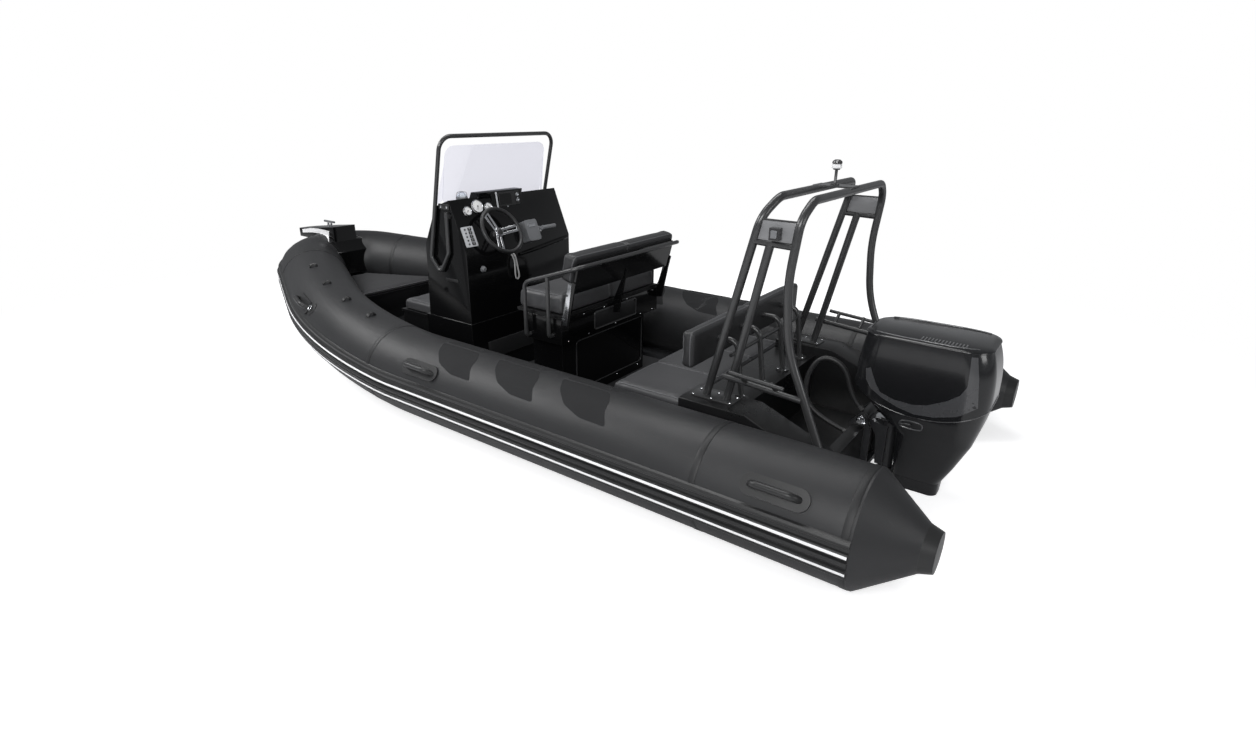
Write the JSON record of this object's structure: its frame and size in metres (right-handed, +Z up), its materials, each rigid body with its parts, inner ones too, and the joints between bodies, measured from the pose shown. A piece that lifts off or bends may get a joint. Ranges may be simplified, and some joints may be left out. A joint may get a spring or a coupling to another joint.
{
  "type": "rigid inflatable boat",
  "caption": "Black rigid inflatable boat with a centre console, helm seat, stern bench, tube arch and tilting outboard engine.",
  "frame": {"origin": "on the centreline in the plane of the waterline, above the centre of buoyancy", "axes": "+X towards the bow, +Y to port, +Z up; z = 0 is the waterline"},
  "size_m": [5.802, 2.4118, 2.295],
  "materials": {
    "tube_fabric": "matt",
    "moulded_rubber": "satin",
    "hull_moulding": "gloss",
    "deck_moulding": "satin",
    "sole_covering": "matt",
    "gloss_moulding": "gloss",
    "plain_plate": "satin",
    "light_vinyl": "satin",
    "grey_vinyl": "satin",
    "dark_vinyl": "satin",
    "tube_paint": "satin",
    "stainless": "polished",
    "clear_pane": "gloss",
    "clear_dome": "gloss",
    "dial": "satin",
    "switch_face": "satin",
    "wheel_rim": "satin",
    "control_grey": "satin",
    "lamp_white": "gloss",
    "lamp_dark": "gloss",
    "engine_paint": "gloss",
    "engine_cast": "satin",
    "engine_block": "matt"
  },
  "bodies": {
    "hull": {"inflatable_tube": "tube_fabric", "cone_caps": "moulded_rubber", "rub_strake": "moulded_rubber", "hull_shell": "hull_moulding", "deck_sole": "sole_covering", "bow_eye": "stainless", "stern_eyes": "stainless", "side_decks": "deck_moulding", "stern_well": "deck_moulding", "bow_locker": "deck_moulding", "bow_step": "gloss_moulding", "bow_cleat": "stainless", "console_shell": "gloss_moulding", "console_kick_plate": "plain_plate", "front_seat_box": "deck_moulding", "windscreen": "clear_pane", "windscreen_rail": "tube_paint", "steering_bezel": "wheel_rim", "gauges": "dial", "switch_panel": "switch_face", "compass": "clear_dome", "throttle_control": "control_grey", "helm_seat_box": "deck_moulding", "helm_back_pad": "dark_vinyl", "helm_back_frame": "gloss_moulding", "helm_grab_rail": "tube_paint", "bench_box": "deck_moulding", "bench_back_pad": "dark_vinyl", "bench_brackets": "tube_paint", "arch_frame": "tube_paint", "mast_light": "lamp_white", "side_lights": "lamp_dark", "handles_port": "moulded_rubber", "handles_starboard": "moulded_rubber", "clamp_bracket": "engine_cast"},
    "swivel": {"swivel_bracket": "engine_cast"},
    "motor": {"cowl_upper": "engine_paint", "cowl_cap": "engine_paint", "cowl_lower": "engine_paint", "powerhead": "engine_block", "midsection": "engine_paint", "steering_arm": "stainless", "gearcase": "engine_paint"},
    "screw": {"propeller": "engine_cast"},
    "wheel": {"steering_wheel": "wheel_rim"},
    "bow_hatch": {"bow_lid": "deck_moulding", "bow_pad": "grey_vinyl"},
    "front_hatch": {"front_seat_lid": "deck_moulding", "front_seat_cushion": "light_vinyl"},
    "helm_hatch": {"helm_seat_lid": "deck_moulding", "helm_seat_cushion": "light_vinyl"},
    "bench_hatch": {"bench_lid": "deck_moulding", "bench_cushion": "light_vinyl"}
  },
  "joints": [
    {"name": "outboard_tilt", "type": "hinge", "parent": "hull", "child": "swivel", "pos_m": [-2.045, 0, 0.34], "axis": [0, 1, 0], "range_deg": [0, 62]},
    {"name": "outboard_steer", "type": "hinge", "parent": "swivel", "child": "motor", "pos_m": [-2.16, 0, 0.2], "axis": [0, 0, 1], "range_deg": [-30, 30]},
    {"name": "propeller_spin", "type": "hinge", "parent": "motor", "child": "screw", "pos_m": [-2.53, 0, -0.385], "axis": [1, 0, 0], "continuous": true},
    {"name": "steering_turn", "type": "hinge", "parent": "hull", "child": "wheel", "pos_m": [0.351, 0.22, 1.038], "axis": [-0.848, 0, 0.5299], "range_deg": [-720, 720]},
    {"name": "bow_hatch_hinge", "type": "hinge", "parent": "hull", "child": "bow_hatch", "pos_m": [2.42, 0, 0.4206], "axis": [0, 1, 0], "range_deg": [0, 70]},
    {"name": "front_hatch_hinge", "type": "hinge", "parent": "hull", "child": "front_hatch", "pos_m": [0.8542, 0, 0.4516], "axis": [0, -1, 0], "range_deg": [0, 75]},
    {"name": "helm_hatch_hinge", "type": "hinge", "parent": "hull", "child": "helm_hatch", "pos_m": [-0.04, 0, 0.6403], "axis": [0, 1, 0], "range_deg": [0, 90]},
    {"name": "bench_hatch_hinge", "type": "hinge", "parent": "hull", "child": "bench_hatch", "pos_m": [-0.83, 0, 0.2903], "axis": [0, 1, 0], "range_deg": [0, 95]}
  ]
}
